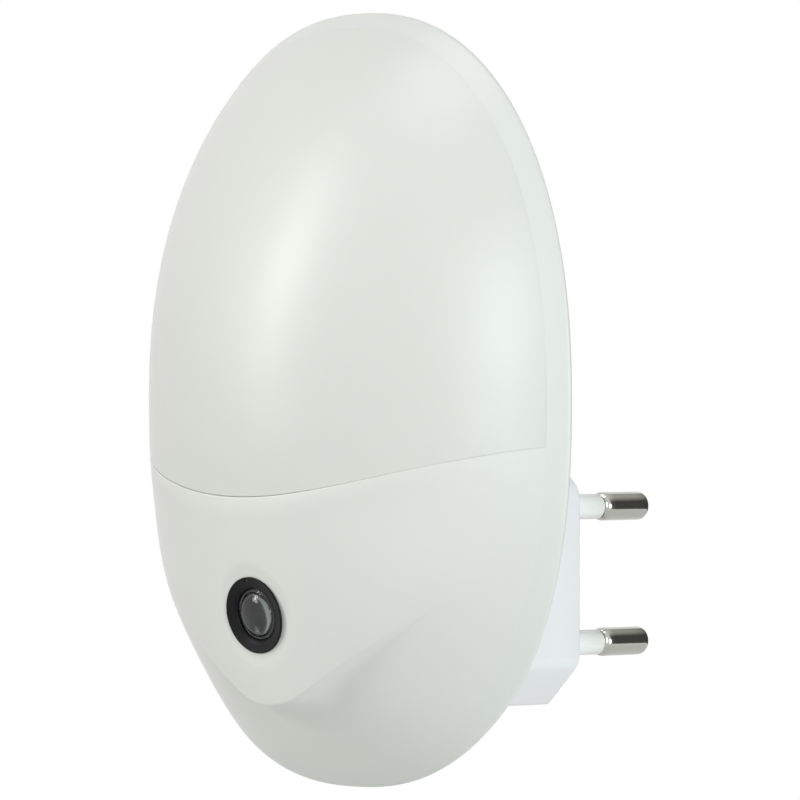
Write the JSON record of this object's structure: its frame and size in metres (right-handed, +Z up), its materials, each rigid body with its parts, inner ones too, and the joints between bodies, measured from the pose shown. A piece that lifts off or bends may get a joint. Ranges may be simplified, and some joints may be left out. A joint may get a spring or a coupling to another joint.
{
  "type": "plug-in night light",
  "caption": "Egg-shaped plug-in night light: frosted diffuser over a front cover with a dusk sensor, a dished rear housing and a fixed flat plug with sleeved round pins.",
  "frame": {"origin": "centre of the plug's face, midway between the pins", "axes": "+Y along the pins into the socket, +Z up the egg's height, so the lamp's front faces -Y"},
  "size_m": [0.079, 0.0785, 0.1054],
  "materials": {
    "frosted_diffuser": "fine satin, milk-white translucent polypropylene",
    "ivory_housing": "fine satin moulded ABS",
    "white_housing": "fine satin moulded ABS",
    "white_plug": "smooth moulded polycarbonate",
    "nickel_plate": "bright nickel plate on brass",
    "white_sleeve": "smooth moulded insulation",
    "black_gloss": "polished black ABS",
    "clear_window": "clear polished acrylic",
    "black_matt": "matt black moulded plastic",
    "photocell": "glazed ceramic wafer with a printed track",
    "red_wire": "PVC insulation",
    "black_wire": "PVC insulation",
    "phenolic_board": "plain phenolic laminate",
    "white_board": "white solder resist",
    "red_film_box": "dipped epoxy box",
    "blue_can": "heat-shrunk sleeve on an aluminium can",
    "chip_black": "moulded epoxy",
    "resistor_blue": "lacquered body",
    "resistor_tan": "lacquered body",
    "resistor_green": "lacquered body",
    "diode_orange": "glass body",
    "reflector_white": "gloss white moulded plastic",
    "led_epoxy": "clear epoxy over a pale yellow phosphor",
    "brass_strip": "stamped strip",
    "screw_steel": "zinc-plated steel"
  },
  "bodies": {
    "root": {"diffuser": "frosted_diffuser", "front_cover": "ivory_housing", "rear_housing": "white_housing", "plug_body": "white_plug", "upper_pin": "nickel_plate", "lower_pin": "nickel_plate", "upper_pin_sleeve": "white_sleeve", "lower_pin_sleeve": "white_sleeve", "pin_retainer": "black_matt", "upper_contact": "brass_strip", "lower_contact": "brass_strip", "sensor_bezel": "black_gloss", "sensor_lens": "clear_window", "sensor_cup": "black_matt", "light_sensor": "photocell", "sensor_leads": "red_wire", "driver_board": "phenolic_board", "dropper_capacitor": "red_film_box", "smoothing_capacitor": "blue_can", "bridge_rectifier": "chip_black", "fusible_resistor": "resistor_blue", "discharge_resistor": "resistor_tan", "current_resistor": "resistor_green", "zener_diode": "diode_orange", "transistor": "chip_black", "reflector": "reflector_white", "led_board": "white_board", "led_1": "led_epoxy", "led_2": "led_epoxy", "led_3": "led_epoxy", "led_4": "led_epoxy", "led_wire_live": "red_wire", "led_wire_return": "black_wire", "case_screws": "screw_steel", "board_screws": "screw_steel", "plug_screws": "screw_steel"}
  },
  "joints": []
}
